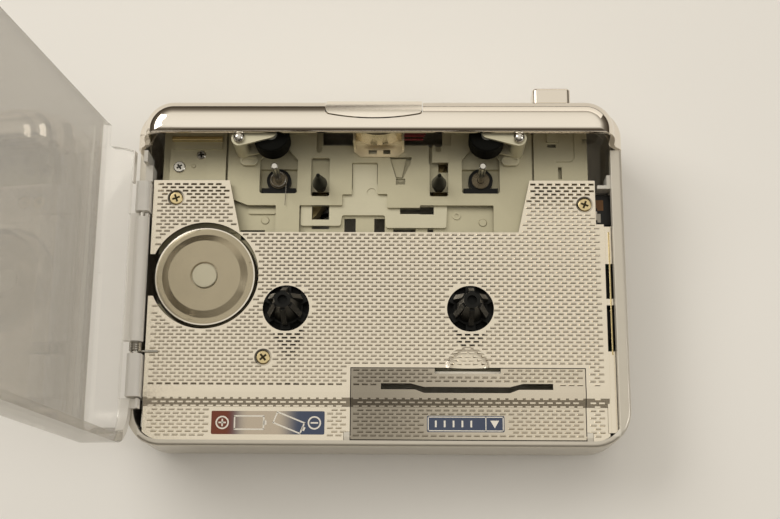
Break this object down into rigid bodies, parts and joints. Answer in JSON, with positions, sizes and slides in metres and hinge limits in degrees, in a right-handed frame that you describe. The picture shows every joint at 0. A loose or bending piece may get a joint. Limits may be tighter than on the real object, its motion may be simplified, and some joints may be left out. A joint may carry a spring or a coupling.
{
  "type": "portable cassette player",
  "caption": "Flat pocket cassette player with a clear side-hinged lid, bright embossed deck, open tape mechanism and a chrome bar with keys along one long side.",
  "frame": {"origin": "centre of the flat back face that the player lies on", "axes": "+X along the long side away from the lid's hinge, +Y towards the chrome bar, +Z out of the back face through the deck to the lid"},
  "size_m": [0.1361, 0.0844, 0.1311],
  "materials": {
    "rear_cover": "satin silver",
    "rim": "satin chrome",
    "bar": "polished",
    "button": "polished",
    "deck": "embossed bright",
    "screw": "yellow zinc",
    "steel_screw": "plain",
    "clear": "clear plastic",
    "pin": "bright",
    "white_plastic": "moulded",
    "black_plastic": "moulded",
    "chassis": "zinc plated",
    "slide": "zinc plated, bright",
    "gold": "gold coloured",
    "shaft": "ground",
    "sleeve": "sintered bronze",
    "flywheel": "turned",
    "belt": "matt",
    "roller": "matt",
    "roller_hub": "grey",
    "motor": "dark satin metal",
    "motor_disc": "satin",
    "head": "polished, warm",
    "bracket": "dull gold",
    "leads": "red and violet insulation",
    "board": "lacquered",
    "chip": "moulded",
    "dial": "ribbed",
    "contact": "nickel plated",
    "arm": "plated"
  },
  "bodies": {
    "case": {"rear_shell": "rear_cover", "case_screws": "steel_screw", "rim_frame": "rim", "top_bar": "bar", "deck_plate": "deck", "deck_screws": "screw", "hinge_blocks": "clear", "hinge_pin": "pin", "lid_spring": "pin", "hinge_bracket": "white_plastic", "side_bracket": "white_plastic", "base_chassis": "chassis", "upper_chassis": "chassis", "left_plate": "chassis", "right_plate": "chassis", "plate_screws": "steel_screw", "trim_bar": "gold", "reel_posts": "shaft", "bearing_housings": "black_plastic", "capstan_sleeves": "sleeve", "flywheel_bracket": "chassis", "drive_belt": "belt", "motor_can": "motor", "motor_disc": "motor_disc", "guide_pins": "black_plastic", "pinch_pivots": "shaft", "headphone_jack": "black_plastic", "power_jack": "black_plastic", "volume_base": "black_plastic", "main_board": "board", "board_supports": "black_plastic", "board_chips": "chip", "battery_spring": "contact", "battery_contact": "contact"},
    "lid": {"lid": "clear"},
    "battery_door": {"battery_door": "deck"},
    "play_key": {"play_key": "button"},
    "stop_button": {"stop_button": "button"},
    "latch": {"latch_slider": "black_plastic"},
    "volume_dial": {"volume_dial": "dial"},
    "head_slide": {"head_slide": "slide", "head_bracket": "bracket", "tape_head": "head", "head_leads": "leads"},
    "motor_rotor": {"motor_pulley": "gold"},
    "belt_idler": {"belt_idler": "white_plastic"},
    "reel_left": {"reel_spindle_left": "black_plastic", "reel_disc_left": "black_plastic"},
    "capstan_left": {"capstan_left": "shaft", "flywheel_left": "flywheel"},
    "pinch_arm_left": {"pinch_arm_left": "arm"},
    "pinch_roller_left": {"pinch_roller_left": "roller", "pinch_hub_left": "roller_hub"},
    "reel_right": {"reel_spindle_right": "black_plastic", "reel_disc_right": "black_plastic"},
    "capstan_right": {"capstan_right": "shaft", "flywheel_right": "flywheel"},
    "pinch_arm_right": {"pinch_arm_right": "arm"},
    "pinch_roller_right": {"pinch_roller_right": "roller", "pinch_hub_right": "roller_hub"}
  },
  "joints": [
    {"name": "lid_hinge", "type": "hinge", "parent": "case", "child": "lid", "pos_m": [-0.0553, -0.0015, 0.0195], "axis": [0, -1, 0], "range_deg": [-96, 0], "stiffness_Nm_per_rad": 0.01, "springref_deg": 57.3},
    {"name": "battery_door_hinge", "type": "hinge", "parent": "case", "child": "battery_door", "pos_m": [0.02055, -0.0374, 0.0166], "axis": [1, 0, 0], "range_deg": [0, 90]},
    {"name": "play_key_rock", "type": "hinge", "parent": "case", "child": "play_key", "pos_m": [-0.0011, 0.0358, 0.0263], "axis": [-1, 0, 0], "range_deg": [0, 4], "stiffness_Nm_per_rad": 0.03, "springref_deg": -1.15},
    {"name": "stop_button_press", "type": "slide", "parent": "case", "child": "stop_button", "axis": [0, -1, 0], "range_m": [0, 0.0012], "stiffness_N_per_m": 300, "springref_m": -0.0005},
    {"name": "latch_slide", "type": "slide", "parent": "case", "child": "latch", "axis": [0, -1, 0], "range_m": [0, 0.002], "stiffness_N_per_m": 200, "springref_m": -0.0005},
    {"name": "volume_turn", "type": "hinge", "parent": "case", "child": "volume_dial", "pos_m": [0.0541, -0.0215, 0.013], "axis": [0, 0, 1], "range_deg": [0, 280]},
    {"name": "head_slide_travel", "type": "slide", "parent": "case", "child": "head_slide", "axis": [0, -1, 0], "range_m": [0, 0.0055], "stiffness_N_per_m": 60, "springref_m": -0.001},
    {"name": "pinch_arm_left_swing", "type": "hinge", "parent": "case", "child": "pinch_arm_left", "pos_m": [-0.0324, 0.0305, 0.022], "axis": [0, 0, -1], "range_deg": [0, 23]},
    {"name": "pinch_arm_right_swing", "type": "hinge", "parent": "case", "child": "pinch_arm_right", "pos_m": [0.0324, 0.0305, 0.022], "axis": [0, 0, 1], "range_deg": [0, 23], "stiffness_Nm_per_rad": 0.001, "springref_deg": -5.73},
    {"name": "capstan_left_spin", "type": "hinge", "parent": "case", "child": "capstan_left", "pos_m": [-0.02405, 0.0238, 0.01], "axis": [0, 0, 1], "continuous": true},
    {"name": "capstan_right_spin", "type": "hinge", "parent": "case", "child": "capstan_right", "pos_m": [0.02405, 0.0238, 0.01], "axis": [0, 0, 1], "continuous": true},
    {"name": "motor_spin", "type": "hinge", "parent": "case", "child": "motor_rotor", "pos_m": [-0.0405, -0.0002, 0.005], "axis": [0, 0, 1], "continuous": true},
    {"name": "belt_idler_spin", "type": "hinge", "parent": "case", "child": "belt_idler", "pos_m": [-0.042, 0.0115, 0.005], "axis": [0, 0, 1], "continuous": true},
    {"name": "reel_left_spin", "type": "hinge", "parent": "case", "child": "reel_left", "pos_m": [-0.02125, -0.008, 0.018], "axis": [0, 0, 1], "continuous": true},
    {"name": "pinch_roller_left_spin", "type": "hinge", "parent": "pinch_arm_left", "child": "pinch_roller_left", "pos_m": [-0.0252, 0.0319, 0.022], "axis": [0, 0, 1], "continuous": true},
    {"name": "reel_right_spin", "type": "hinge", "parent": "case", "child": "reel_right", "pos_m": [0.02125, -0.008, 0.018], "axis": [0, 0, 1], "continuous": true},
    {"name": "pinch_roller_right_spin", "type": "hinge", "parent": "pinch_arm_right", "child": "pinch_roller_right", "pos_m": [0.0252, 0.0319, 0.022], "axis": [0, 0, 1], "continuous": true}
  ],
  "couplings": [
    {"joint": "pinch_arm_left_swing", "follows": "head_slide_travel", "rad_per_m": 72.977},
    {"joint": "capstan_right_spin", "follows": "capstan_left_spin", "ratio": -1},
    {"joint": "motor_spin", "follows": "capstan_left_spin", "ratio": -4.5},
    {"joint": "belt_idler_spin", "follows": "capstan_left_spin", "ratio": -5}
  ]
}
